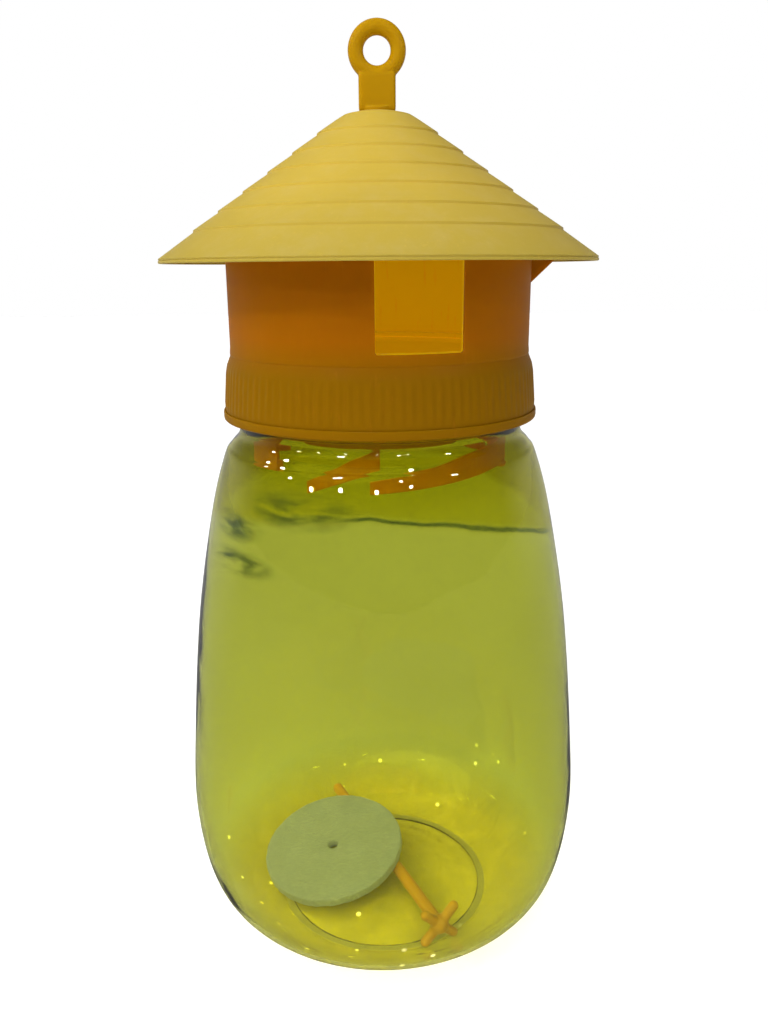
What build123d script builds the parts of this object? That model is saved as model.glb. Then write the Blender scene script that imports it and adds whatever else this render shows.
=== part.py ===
"""Hanging wasp trap: tinted screw-neck jar, windowed entry cap, cone roof with a hanging eye,
neck baffle, and a lure rod and lure disc lying loose on the jar's floor.

Millimetres, +Z up.  The origin is the centre of the jar's standing ring, on the table.
The trap's front, with one entry window, faces -Y.
"""
from build123d import *
import os
from math import hypot, pi, radians, sin

# ---- jar ------------------------------------------------------------------
JAR_HEIGHT = 139.3            # table to the rim
JAR_WALL = 0.8
STANDING_RING_INNER = 25.0    # radii of the narrow flat that the jar stands on
STANDING_RING_OUTER = 27.0
PUSH_UP = 2.2                 # rise of the base inside the standing ring
BELLY_RADIUS = 47.3           # widest, BELLY_HEIGHT above the table
BELLY_HEIGHT = 30.0
NECK_RADIUS = 30.6            # outside, at the root of the thread
NECK_WALL = 1.2
NECK_RING_RADIUS = NECK_RADIUS + 1.1    # plain ring between shoulder and thread
NECK_RING_TOP = JAR_HEIGHT - 14.5
NECK_START = JAR_HEIGHT - 15.9          # height where the neck is upright
NECK_STEP = 0.7                         # height of the slope from the ring to the thread
SHOULDER_RADIUS = NECK_RADIUS + 5.0     # where the side ends and the shoulder turns in
SHOULDER_HEIGHT = JAR_HEIGHT - 22.3
# Points that the jar's outline passes, as (share of the way in radius, share in height)
HEEL_CURVE = ((0.42, 0.133), (0.84, 0.43))                  # standing ring to belly
SIDE_CURVE = ((0.07, 0.23), (0.325, 0.575), (0.71, 0.862))  # belly to shoulder
SHOULDER_CURVE = ((0.40, 0.43), (0.86, 0.75))               # shoulder to neck
HEEL_START_SLOPE = 0.35       # rise of the outline where it leaves the standing ring

# ---- screw thread, right-handed ---------------------------------------------
THREAD_PITCH = 4.0
THREAD_TRAVEL = 6.0           # height that the thread climbs
THREAD_HEIGHT = 1.0           # radial
THREAD_BASE = 2.0             # width along the axis, at the root
THREAD_CREST = 0.9
THREAD_START = JAR_HEIGHT - 9.8   # middle of the neck thread's lower end
CAP_THREAD_START = THREAD_START + THREAD_TRAVEL / 3
THREAD_BITE = 0.3             # how far each thread is sunk into its wall

# ---- entry cap: knurled skirt, ledge and windowed drum, one moulding ------------
SKIRT_BOTTOM = JAR_HEIGHT - 13.7
SKIRT_TOP = JAR_HEIGHT - 2.0
SKIRT_BORE = NECK_RADIUS + 1.5          # root of the inner thread
SKIRT_RADIUS_TOP = SKIRT_BORE + 1.8     # the skirt is drafted
SKIRT_RADIUS_FOOT = SKIRT_BORE + 2.6
BEAD_RADIUS = SKIRT_BORE + 3.0          # plain bead at the skirt's foot
BEAD_HEIGHT = 2.2
BEAD_CHAMFER = 0.5
GRIP_RIBS = 108
GRIP_RIB_HEIGHT = 0.22
GRIP_RIB_SHARE = 0.45         # of the pitch between ribs
DRUM_RADIUS = SKIRT_BORE + 0.9
DRUM_WALL = 1.3
DRUM_TOP = JAR_HEIGHT + 26.2
CHAMFER_TOP = JAR_HEIGHT + 0.7          # the skirt steps in to the drum here
LEDGE_THICKNESS = 1.2         # ring that clamps the baffle's flange on the rim
SNAP_BEAD_HEIGHT = 0.7        # inner bead that holds the baffle's flange
SNAP_BEAD_GRIP = 0.5          # how far the bead reaches inside the flange's edge
SNAP_BEAD_DROP = 0.1          # the bead's top, below the rim
SNAP_BEAD_SLOPE = 0.9         # height of the slope under it
WINDOW_WIDTH = 17.5           # chord
WINDOW_TOP = DRUM_TOP - 5.5
WINDOW_AZIMUTHS = (14.2, 198.2)  # front and rear window, degrees to the right of the front
WINDOW_CORNER = 0.5           # radius
GUSSET_FOOT = DRUM_TOP - 11.6 # height where the roof's gusset leaves the drum
GUSSET_REACH = DRUM_RADIUS + 8.0  # its outer tip
GUSSET_TIP = 0.6              # height of its blunt tip
GUSSET_THICKNESS = 2.0

# ---- roof --------------------------------------------------------------------
ROOF_RIM_RADIUS = DRUM_RADIUS + 13.8
ROOF_RIM_HEIGHT = DRUM_TOP - 6.9
ROOF_TOP_RADIUS = 4.6         # flat that the hanger's shoulder turns on
CROWN_RADIUS = 7.8            # a flatter cone runs from here up to that flat
CROWN_RISE = 0.747
ROOF_SLOPE = 0.727            # rise over run
ROOF_WALL = 1.5               # measured straight down
RIM_LIP = 0.9                 # upright edge of the rim
TIER_COUNT = 6
TIER_FIRST_RADIUS = 12.8
TIER_LAST_RADIUS = ROOF_RIM_RADIUS - 7.5
TIER_STEP = 0.3               # drop at each tier's edge
TIER_STEP_RUN = 0.25          # run of that drop
SPIGOT_WALL = 1.3             # ring under the roof that plugs into the drum
SPIGOT_BOTTOM = DRUM_TOP - 4.5
SPIGOT_LEAD = (0.3, 0.6)      # run and rise of the lead-in chamfer at its end
SNAP_HEIGHT = DRUM_TOP - 2.9  # snap bead between roof and drum
SNAP_REACH = 0.35
SNAP_HALF_HEIGHT = 0.5
SNAP_GROOVE_HALF = 0.8        # half height of the groove that takes it
PLUG_CLEARANCE = 0.05         # radial, spigot in drum
BOSS_RADIUS = 7.0             # thick middle that carries the hanger
BOSS_HEIGHT = 4.0

# ---- hanger ------------------------------------------------------------------
STEM_WIDTH = 7.7
STEM_THICKNESS = 3.4
STEM_ROUNDING = 1.02          # radius of its upright edges
EYE_RISE = 11.8               # roof's top to the middle of the hole
EYE_RADIUS = 6.0              # outside
EYE_HOLE_RADIUS = 2.8
EYE_LAND = 0.1                # how far the round section is cut back to a plain bore
JOURNAL_RADIUS = 3.0          # round shank that turns in the roof's boss
JOURNAL_CLEARANCE = 0.06      # radial
PRESS_RADIUS = 2.2            # end of the shank, pressed into the lure socket
PRESS_LENGTH = 5.0
END_CLEARANCE = 0.05          # along the axis, between turning faces

# ---- lure socket ---------------------------------------------------------------
SOCKET_RADIUS = 5.0
SOCKET_LENGTH = 13.0
SOCKET_DEPTH = 7.0            # of the hole that takes the lure rod's end
SOCKET_CLEARANCE = 0.05       # radial, lure rod in the hole
SOCKET_CHAMFER = 0.6

# ---- neck baffle -----------------------------------------------------------------
FLANGE_RADIUS = NECK_RADIUS + 0.7
FLANGE_THICKNESS = 1.15
SLEEVE_RADIUS = NECK_RADIUS - NECK_WALL - 0.4
SLEEVE_WALL = 0.9
SLEEVE_BOTTOM = JAR_HEIGHT - 16.7
FUNNEL_TOP = JAR_HEIGHT       # cone inside the sleeve, down to the hole for the insects
FUNNEL_BOTTOM = JAR_HEIGHT - 13.0
FUNNEL_HOLE_RADIUS = 8.0
FUNNEL_WALL = 1.0             # measured straight down
FIN_SETS = 3                  # one long and one short fin in each
# Start (degrees right of the front), span (degrees), lip height at the start, rise of the lip
LONG_FIN = (-4.0, 76.0, JAR_HEIGHT - 25.7, 3.0)
SHORT_FIN = (-31.0, 31.0, JAR_HEIGHT - 26.3, 5.6)
FIN_TIP = 2.6                 # height of the low end's tip
LIP_HEIGHT = 2.0
LIP_WIDTH = 1.7
FIN_INSET = 0.1               # the fins stand this far inside the sleeve's two faces
FIN_ROOT = 0.6                # how far a fin runs up into the sleeve

# ---- lure rod and disc, lying loose on the floor -----------------------------------
ROD_RADIUS = 1.5
ROD_END = (-13.8, 31.3, 6.4)      # centre of the rounded end
ROD_HUB = (13.2, -24.7, 6.5)      # centre of the cross foot
FOOT_ARMS = 4
FOOT_REACH = 6.6                  # from the hub to an arm's end
FOOT_ARM_RADIUS = 1.2
FOOT_HUB_RADIUS = 2.3
DISC_RADIUS = 18.5
DISC_THICKNESS = 2.4
DISC_HOLE_RADIUS = 1.7
DISC_TOP_CENTRE = (-13.65, 1.7, 9.2)
DISC_NORMAL = (-0.139, -0.137, 0.981)

# ---- worked out ---------------------------------------------------------------------
DRUM_BORE = DRUM_RADIUS - DRUM_WALL
LEDGE_BORE = SLEEVE_RADIUS - 0.4
LEDGE_BOTTOM = JAR_HEIGHT + FLANGE_THICKNESS + END_CLEARANCE
LEDGE_TOP = LEDGE_BOTTOM + LEDGE_THICKNESS
ROOF_TOP = ROOF_RIM_HEIGHT + RIM_LIP + (ROOF_RIM_RADIUS - CROWN_RADIUS) * ROOF_SLOPE + CROWN_RISE
BOSS_BOTTOM = ROOF_TOP - BOSS_HEIGHT
STEM_BOTTOM = ROOF_TOP + END_CLEARANCE
EYE_HEIGHT = ROOF_TOP + EYE_RISE
SOCKET_TOP = BOSS_BOTTOM - END_CLEARANCE
SWEEP_MARGIN = 5.0                # how far cutting shapes overshoot


def turned(points):
    """Solid of revolution about Z from a closed outline of (radius, height) points."""
    outline = Polyline([(r, 0, z) for r, z in points], close=True)
    return revolve(make_face(outline), Axis.Z, 360)


def ring(inner, outer, bottom, top):
    """Plain round ring."""
    return turned([(inner, bottom), (outer, bottom), (outer, top), (inner, top)])


def around(shape, count, first):
    """Copies of a shape made at the front (-Y), evenly turned to the right about Z."""
    return [Rot(0, 0, first + k * 360 / count) * shape for k in range(count)]


def one(shape):
    """The single solid of a fused shape."""
    solids = shape.solids()
    assert len(solids) == 1, f"{len(solids)} solids"
    return solids[0]


# ---- jar ------------------------------------------------------------------------------
def between(start, end, shares):
    """(radius, height) points at the given shares of the way from start to end."""
    return [(start[0] + (end[0] - start[0]) * across, start[1] + (end[1] - start[1]) * up)
            for across, up in shares]


def jar_side():
    """Outer (radius, height) points of the jar from its standing ring to the upright neck."""
    stand = (STANDING_RING_OUTER, 0)
    belly = (BELLY_RADIUS, BELLY_HEIGHT)
    shoulder = (SHOULDER_RADIUS, SHOULDER_HEIGHT)
    neck = (NECK_RING_RADIUS, NECK_START)
    return [
        stand, *between(stand, belly, HEEL_CURVE),
        belly, *between(belly, shoulder, SIDE_CURVE),
        shoulder, *between(shoulder, neck, SHOULDER_CURVE),
        neck,
    ]


def moved_in(points, wall):
    """The same curve, moved inwards by the wall along its normals."""
    result = []
    for i, (r, z) in enumerate(points):
        before = points[max(i - 1, 0)]
        after = points[min(i + 1, len(points) - 1)]
        run, rise = after[0] - before[0], after[1] - before[1]
        length = hypot(run, rise)
        result.append((r - wall * rise / length, z + wall * run / length))
    return result


def side_spline(points):
    """Smooth curve through (radius, height) points, upright at its top."""
    start = (points[1][0] - points[0][0], 0, HEEL_START_SLOPE * (points[1][1] - points[0][1]))
    return Spline([(r, 0, z) for r, z in points], tangents=[start, (0, 0, 1)])


def jar_outer():
    side = side_spline(jar_side())
    neck = Polyline(
        side @ 1,
        (NECK_RING_RADIUS, 0, NECK_RING_TOP),
        (NECK_RADIUS, 0, NECK_RING_TOP + NECK_STEP),
        (NECK_RADIUS, 0, JAR_HEIGHT),
        (0, 0, JAR_HEIGHT),
        (0, 0, PUSH_UP),
    )
    base = ThreePointArc(
        (0, 0, PUSH_UP),
        (STANDING_RING_INNER / 2, 0, PUSH_UP * 3 / 4),
        (STANDING_RING_INNER, 0, 0),
    )
    stand = Line((STANDING_RING_INNER, 0, 0), (STANDING_RING_OUTER, 0, 0))
    return revolve(make_face([side, neck, base, stand]), Axis.Z, 360)


def jar_inner():
    points = moved_in(jar_side(), JAR_WALL)
    points[0] = (STANDING_RING_OUTER - JAR_WALL / 4, JAR_WALL)
    points[-1] = (NECK_RADIUS - NECK_WALL, NECK_START + JAR_WALL)
    side = side_spline(points)
    neck = Polyline(
        side @ 1,
        (NECK_RADIUS - NECK_WALL, 0, JAR_HEIGHT + SWEEP_MARGIN),
        (0, 0, JAR_HEIGHT + SWEEP_MARGIN),
        (0, 0, PUSH_UP + JAR_WALL),
    )
    base = ThreePointArc(
        (0, 0, PUSH_UP + JAR_WALL),
        (STANDING_RING_INNER / 2, 0, PUSH_UP * 3 / 4 + JAR_WALL),
        (STANDING_RING_INNER, 0, JAR_WALL),
    )
    stand = Line((STANDING_RING_INNER, 0, JAR_WALL), side @ 0)
    return revolve(make_face([side, neck, base, stand]), Axis.Z, 360)


def thread(root_radius, height, bottom):
    """Helical ridge of trapezoid section: outward from its root, or inward with a negative height."""
    sunk = root_radius - THREAD_BITE * (1 if height > 0 else -1)
    path = Helix(THREAD_PITCH, THREAD_TRAVEL, root_radius)
    section = make_face(Polyline(
        (sunk, 0, -THREAD_BASE / 2),
        (root_radius, 0, -THREAD_BASE / 2),
        (root_radius + height, 0, -THREAD_CREST / 2),
        (root_radius + height, 0, THREAD_CREST / 2),
        (root_radius, 0, THREAD_BASE / 2),
        (sunk, 0, THREAD_BASE / 2),
        close=True,
    ))
    return Pos(0, 0, bottom) * sweep(section, path=path, is_frenet=True)


def jar():
    ridge = thread(NECK_RADIUS, THREAD_HEIGHT, THREAD_START)
    return one((jar_outer() - jar_inner()).fuse(ridge))


# ---- entry cap ----------------------------------------------------------------------------
def window_cutter():
    """Upright slot through the drum's wall at the front."""
    height = WINDOW_TOP - LEDGE_TOP
    slot = RectangleRounded(WINDOW_WIDTH, height, WINDOW_CORNER)
    blank = extrude(slot, amount=DRUM_RADIUS - LEDGE_BORE + SWEEP_MARGIN)
    front = Pos(0, -DRUM_RADIUS - SWEEP_MARGIN / 2, LEDGE_TOP + height / 2)
    return front * Rot(-90, 0, 0) * blank


def roof_surface(radius):
    """Height of the roof's plain cone at a radius."""
    return ROOF_RIM_HEIGHT + RIM_LIP + (ROOF_RIM_RADIUS - radius) * ROOF_SLOPE


def roof_underside(radius):
    """Height of the roof's underside at a radius."""
    return roof_surface(radius) - ROOF_WALL


def gusset():
    """Bracket that stands out from the drum, on its right, under the roof."""
    inside = DRUM_RADIUS - DRUM_WALL / 2
    tip_top = roof_underside(GUSSET_REACH) - PLUG_CLEARANCE
    outline = Polyline(
        (inside, 0, GUSSET_FOOT - DRUM_WALL),
        (DRUM_RADIUS, 0, GUSSET_FOOT),
        (GUSSET_REACH, 0, tip_top - GUSSET_TIP),
        (GUSSET_REACH, 0, tip_top),
        (inside, 0, min(DRUM_TOP, roof_underside(inside)) - 2 * PLUG_CLEARANCE),
        close=True,
    )
    return extrude(make_face(outline), amount=GUSSET_THICKNESS / 2, both=True)


def skirt_ribs():
    """Soft upright grip ribs, which die out into the bead and the chamfer."""
    foot = SKIRT_BOTTOM + BEAD_HEIGHT
    width = 2 * pi * SKIRT_RADIUS_TOP / GRIP_RIBS * GRIP_RIB_SHARE
    rib = Polyline(
        (SKIRT_RADIUS_FOOT - THREAD_BITE, 0, foot - GRIP_RIB_HEIGHT),
        (SKIRT_RADIUS_FOOT + GRIP_RIB_HEIGHT, 0, foot + 2 * GRIP_RIB_HEIGHT),
        (SKIRT_RADIUS_TOP + GRIP_RIB_HEIGHT, 0, SKIRT_TOP - 4 * GRIP_RIB_HEIGHT),
        (SKIRT_RADIUS_TOP - THREAD_BITE, 0, SKIRT_TOP - GRIP_RIB_HEIGHT),
        close=True,
    )
    plate = extrude(make_face(rib), amount=width / 2, both=True)
    return around(plate, GRIP_RIBS, 0)


def entry_cap():
    snap_bore = FLANGE_RADIUS - SNAP_BEAD_GRIP
    snap_top = JAR_HEIGHT - SNAP_BEAD_DROP
    snap_bottom = snap_top - SNAP_BEAD_HEIGHT
    shell = turned([
        (SKIRT_BORE, SKIRT_BOTTOM),
        (BEAD_RADIUS - BEAD_CHAMFER, SKIRT_BOTTOM),
        (BEAD_RADIUS, SKIRT_BOTTOM + BEAD_CHAMFER),
        (BEAD_RADIUS, SKIRT_BOTTOM + BEAD_HEIGHT - BEAD_CHAMFER),
        (SKIRT_RADIUS_FOOT, SKIRT_BOTTOM + BEAD_HEIGHT),
        (SKIRT_RADIUS_TOP, SKIRT_TOP),
        (DRUM_RADIUS, CHAMFER_TOP),
        (DRUM_RADIUS, DRUM_TOP),
        (DRUM_BORE, DRUM_TOP),
        (DRUM_BORE, SNAP_HEIGHT + SNAP_GROOVE_HALF),
        (DRUM_BORE + SNAP_REACH + PLUG_CLEARANCE, SNAP_HEIGHT),
        (DRUM_BORE, SNAP_HEIGHT - SNAP_GROOVE_HALF),
        (DRUM_BORE, LEDGE_TOP),
        (LEDGE_BORE, LEDGE_TOP),
        (LEDGE_BORE, LEDGE_BOTTOM),
        (DRUM_BORE, LEDGE_BOTTOM),
        (DRUM_BORE, snap_top),
        (snap_bore, snap_top - SNAP_BEAD_HEIGHT / 3),
        (snap_bore, snap_bottom),
        (SKIRT_BORE, snap_bottom - SNAP_BEAD_SLOPE),
    ])
    ridge = thread(SKIRT_BORE, -THREAD_HEIGHT, CAP_THREAD_START)
    body = shell.fuse(ridge, gusset(), *skirt_ribs())
    windows = [Rot(0, 0, azimuth) * window_cutter() for azimuth in WINDOW_AZIMUTHS]
    return one(body - windows)


# ---- roof -----------------------------------------------------------------------------------
def roof():
    """Thin stepped cone with a snap-in spigot and a boss for the hanger."""
    tier_spacing = (TIER_LAST_RADIUS - TIER_FIRST_RADIUS) / (TIER_COUNT - 1)
    outer = [
        (ROOF_RIM_RADIUS, ROOF_RIM_HEIGHT),
        (ROOF_RIM_RADIUS, roof_surface(ROOF_RIM_RADIUS)),
    ]
    for k in reversed(range(TIER_COUNT)):
        radius = TIER_FIRST_RADIUS + k * tier_spacing
        outer.append((radius, roof_surface(radius) - TIER_STEP / 2))
        outer.append((radius - TIER_STEP_RUN, roof_surface(radius) + TIER_STEP / 2))
    outer += [
        (CROWN_RADIUS, roof_surface(CROWN_RADIUS)),
        (ROOF_TOP_RADIUS, ROOF_TOP),
        (JOURNAL_RADIUS + JOURNAL_CLEARANCE, ROOF_TOP),
    ]
    spigot = DRUM_BORE - PLUG_CLEARANCE
    inner = [
        (JOURNAL_RADIUS + JOURNAL_CLEARANCE, BOSS_BOTTOM),
        (BOSS_RADIUS, BOSS_BOTTOM),
        (BOSS_RADIUS, roof_underside(BOSS_RADIUS)),
        (spigot - SPIGOT_WALL, roof_underside(spigot - SPIGOT_WALL)),
        (spigot - SPIGOT_WALL, SPIGOT_BOTTOM),
        (spigot - SPIGOT_LEAD[0], SPIGOT_BOTTOM),
        (spigot, SPIGOT_BOTTOM + SPIGOT_LEAD[1]),
        (spigot, SNAP_HEIGHT - SNAP_HALF_HEIGHT),
        (spigot + SNAP_REACH, SNAP_HEIGHT),
        (spigot, SNAP_HEIGHT + SNAP_HALF_HEIGHT),
        (spigot, DRUM_TOP),
        (DRUM_RADIUS, DRUM_TOP),
        (DRUM_RADIUS, roof_underside(DRUM_RADIUS)),
        (ROOF_RIM_RADIUS - (ROOF_WALL - RIM_LIP) / ROOF_SLOPE, ROOF_RIM_HEIGHT),
    ]
    return one(turned(outer + inner))


# ---- hanger and lure socket -----------------------------------------------------------------------
def hanger_eye():
    """Round-section eye on a flat stem, with a round shank through the roof."""
    section = (EYE_RADIUS - EYE_HOLE_RADIUS + EYE_LAND) / 2
    centre = Pos(0, 0, EYE_HEIGHT) * Rot(90, 0, 0)
    eye = centre * Torus(EYE_RADIUS - section, section)
    stem_top = EYE_HEIGHT - EYE_RADIUS + section
    stem = Pos(0, 0, STEM_BOTTOM) * Box(
        STEM_WIDTH, STEM_THICKNESS, stem_top - STEM_BOTTOM,
        align=(Align.CENTER, Align.CENTER, Align.MIN))
    stem = fillet(stem.edges().filter_by(Axis.Z), STEM_ROUNDING)
    hole = centre * Cylinder(EYE_HOLE_RADIUS, STEM_WIDTH)
    shank = ring(0, JOURNAL_RADIUS, SOCKET_TOP, STEM_BOTTOM)
    press_end = ring(0, PRESS_RADIUS, SOCKET_TOP - PRESS_LENGTH, SOCKET_TOP)
    return one(eye + stem + shank + press_end - hole)


def lure_socket():
    """Hub pressed on the hanger's shank, with a blind hole below for the lure rod's end."""
    bottom = SOCKET_TOP - SOCKET_LENGTH
    hole = ROD_RADIUS + SOCKET_CLEARANCE
    return one(turned([
        (hole, bottom),
        (SOCKET_RADIUS - SOCKET_CHAMFER, bottom),
        (SOCKET_RADIUS, bottom + SOCKET_CHAMFER),
        (SOCKET_RADIUS, SOCKET_TOP),
        (PRESS_RADIUS, SOCKET_TOP),
        (PRESS_RADIUS, SOCKET_TOP - PRESS_LENGTH),
        (0, SOCKET_TOP - PRESS_LENGTH),
        (0, bottom + SOCKET_DEPTH),
        (hole, bottom + SOCKET_DEPTH),
    ]))


# ---- neck baffle -----------------------------------------------------------------------------------
def fins(start, span, low, rise):
    """Sloping fins, one in each set: a curved wall with a thick lower lip, rising to the right."""
    half = SLEEVE_RADIUS * sin(radians(span / 2))
    top = SLEEVE_BOTTOM + FIN_ROOT
    high = low + rise

    def slab(left_top, right_top):
        side = Polyline((-half, 0, low), (half, 0, high), (half, 0, right_top),
                        (-half, 0, left_top), close=True)
        return extrude(make_face(side), amount=SLEEVE_RADIUS + SWEEP_MARGIN, dir=(0, -1, 0))

    outside = SLEEVE_RADIUS - FIN_INSET
    wall = ring(SLEEVE_RADIUS - SLEEVE_WALL + FIN_INSET, outside, low - FIN_ROOT, top)
    lip = ring(SLEEVE_RADIUS - LIP_WIDTH, outside, low - FIN_ROOT, top)
    wall = wall & slab(low + FIN_TIP, top + FIN_ROOT)
    lip = lip & slab(low + LIP_HEIGHT, high + LIP_HEIGHT)
    return around(wall + lip, FIN_SETS, start + span / 2)


def neck_baffle():
    """Flange on the jar's rim, sleeve and funnel in the neck, and sloping fins below."""
    flange = ring(SLEEVE_RADIUS - SLEEVE_WALL, FLANGE_RADIUS,
                  JAR_HEIGHT, JAR_HEIGHT + FLANGE_THICKNESS)
    sleeve = ring(SLEEVE_RADIUS - SLEEVE_WALL, SLEEVE_RADIUS,
                  SLEEVE_BOTTOM, JAR_HEIGHT + FLANGE_THICKNESS)
    funnel_edge = SLEEVE_RADIUS - SLEEVE_WALL / 2
    funnel = turned([
        (funnel_edge, FUNNEL_TOP),
        (FUNNEL_HOLE_RADIUS, FUNNEL_BOTTOM),
        (FUNNEL_HOLE_RADIUS, FUNNEL_BOTTOM - FUNNEL_WALL),
        (funnel_edge, FUNNEL_TOP - FUNNEL_WALL),
    ])
    return one(flange + sleeve + funnel + fins(*LONG_FIN) + fins(*SHORT_FIN))


# ---- lure -------------------------------------------------------------------------------------------
def lure_rod():
    """Round-ended rod with a four-armed foot, lying on the floor on two of its arms."""
    along = Vector(*ROD_HUB) - Vector(*ROD_END)
    length = along.length
    frame = Plane(origin=ROD_END, x_dir=Vector(along.Y, -along.X, 0), z_dir=along)
    shank = extrude(Circle(ROD_RADIUS), amount=length) + Sphere(ROD_RADIUS)
    hub = Pos(0, 0, length) * Sphere(FOOT_HUB_RADIUS)
    arm = extrude(Circle(FOOT_ARM_RADIUS), amount=FOOT_REACH - FOOT_ARM_RADIUS)
    arm = arm + Pos(0, 0, FOOT_REACH - FOOT_ARM_RADIUS) * Sphere(FOOT_ARM_RADIUS)
    body = shank + hub
    for k in range(FOOT_ARMS):
        turn = 360 / FOOT_ARMS * (k + 0.5)
        body = body + Pos(0, 0, length) * Rot(0, 0, turn) * Rot(0, 90, 0) * arm
    return one(frame * body)


def lure_disc():
    """Pressed fibre disc, one edge on the floor and the other on the rod."""
    frame = Plane(origin=DISC_TOP_CENTRE, z_dir=DISC_NORMAL)
    blank = extrude(Circle(DISC_RADIUS) - Circle(DISC_HOLE_RADIUS), amount=-DISC_THICKNESS)
    return one(frame * blank)


PIECES = {
    "jar": jar,
    "entry_cap": entry_cap,
    "roof": roof,
    "hanger_eye": hanger_eye,
    "lure_socket": lure_socket,
    "neck_baffle": neck_baffle,
    "lure_rod": lure_rod,
    "lure_disc": lure_disc,
}


def main():
    os.makedirs("parts", exist_ok=True)
    for name, build in PIECES.items():
        piece = build()
        box = piece.bounding_box()
        print(f"{name:12s} volume {piece.volume:9.1f}  z {box.min.Z:6.2f} to {box.max.Z:6.2f}")
        export_step(piece, f"parts/{name}.step")


main()
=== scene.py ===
from math import atan2, cos, hypot, pi, radians, sin, tau

import bmesh
import bpy
from bpy.props import FloatProperty, FloatVectorProperty, IntProperty
from mathutils import Matrix, Vector, noise


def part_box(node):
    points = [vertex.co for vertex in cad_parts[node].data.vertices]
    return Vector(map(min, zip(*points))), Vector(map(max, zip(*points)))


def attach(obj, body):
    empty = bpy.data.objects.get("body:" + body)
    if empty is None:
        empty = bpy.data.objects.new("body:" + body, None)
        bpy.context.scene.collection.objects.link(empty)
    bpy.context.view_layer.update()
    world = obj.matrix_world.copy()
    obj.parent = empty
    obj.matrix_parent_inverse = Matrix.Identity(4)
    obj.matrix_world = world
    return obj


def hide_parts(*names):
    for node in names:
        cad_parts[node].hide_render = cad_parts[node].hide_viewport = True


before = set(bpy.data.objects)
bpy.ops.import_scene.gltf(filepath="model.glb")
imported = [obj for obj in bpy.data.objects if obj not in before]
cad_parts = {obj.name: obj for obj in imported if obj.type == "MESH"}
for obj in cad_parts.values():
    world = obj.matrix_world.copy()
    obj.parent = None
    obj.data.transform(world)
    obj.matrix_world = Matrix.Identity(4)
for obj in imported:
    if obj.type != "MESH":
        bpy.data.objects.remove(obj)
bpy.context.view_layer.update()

bl_info = {
    "name": "Wasp trap",
    "version": (1, 0, 0),
    "blender": (4, 5, 0),
    "location": "View3D > Sidebar > Wasp trap",
    "description": "Builds the shells, lure and finishes of a hanging wasp trap on its CAD frame",
    "category": "Add Mesh",
}

MM = 0.001
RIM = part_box("jar")[1].z
CAP_LOW, CAP_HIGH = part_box("entry_cap")
ROOF_LOW, ROOF_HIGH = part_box("roof")
EYE_LOW, EYE_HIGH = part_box("hanger_eye")


# ---- sizes and colours ---------------------------------------------------------------

def length(name, description, default):
    """A size in metres that a user may change."""
    return FloatProperty(name=name, description=description, default=default,
                         min=0.0, unit="LENGTH", precision=5)


def colour(name, description, default):
    """A linear RGB colour that a user may change."""
    return FloatVectorProperty(name=name, description=description, default=default,
                               subtype="COLOR", size=3, min=0.0, max=1.0)


class WaspTrapSizes(bpy.types.PropertyGroup):
    """Sizes that shape the visual pieces."""
    jar_wall: length("Jar wall", "Thickness of the jar's side", 0.8 * MM)
    belly_radius: length("Belly radius", "Radius of the jar's side at its widest ring", 47.16 * MM)
    belly_height: length("Belly height", "Height of the jar's widest ring", 30 * MM)
    shoulder_radius: length("Shoulder radius", "Radius where the side ends", 35.6 * MM)
    shoulder_height: length("Shoulder height", "Height where the side ends", 117 * MM)
    stand_radius: length("Standing ring", "Middle radius of the ring the jar stands on", 26 * MM)
    push_up: length("Push-up", "Rise of the base inside the standing ring", 2.2 * MM)
    neck_ring: length("Neck ring", "Radius of the plain ring under the thread", 31.7 * MM)
    neck_radius: length("Neck radius", "Outer radius of the neck at the thread's root", 30.6 * MM)
    neck_bore: length("Neck bore", "Inner radius of the neck", 29.4 * MM)
    thread_pitch: length("Thread pitch", "Rise of the thread in one turn", 4 * MM)
    skirt_foot: length("Skirt foot", "Outer radius of the cap's skirt at its bead", 34.7 * MM)
    skirt_top: length("Skirt top", "Outer radius of the cap's skirt at its top", 33.9 * MM)
    bead_radius: length("Bead radius", "Radius of the bead at the skirt's foot", 35.1 * MM)
    drum_radius: length("Drum radius", "Outer radius of the windowed drum", 33 * MM)
    drum_wall: length("Drum wall", "Thickness of the drum's wall", 1.3 * MM)
    grip_ribs: IntProperty(name="Grip ribs", description="Ribs around the skirt", default=108)
    window_width: length("Window width", "Width of an entry window", 17.5 * MM)
    roof_wall: length("Roof wall", "Thickness of the roof, straight down", 1.5 * MM)
    sleeve_radius: length("Sleeve", "Outer radius of the baffle's sleeve", 29.0 * MM)
    funnel_hole: length("Funnel hole", "Radius of the hole under the funnel", 8.0 * MM)
    disc_radius: length("Lure disc radius", "Radius of the pressed disc", 18.5 * MM)
    disc_thickness: length("Lure disc thickness", "Thickness of the disc", 2.4 * MM)
    rod_radius: length("Lure rod radius", "Radius of the lure rod", 1.5 * MM)


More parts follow.
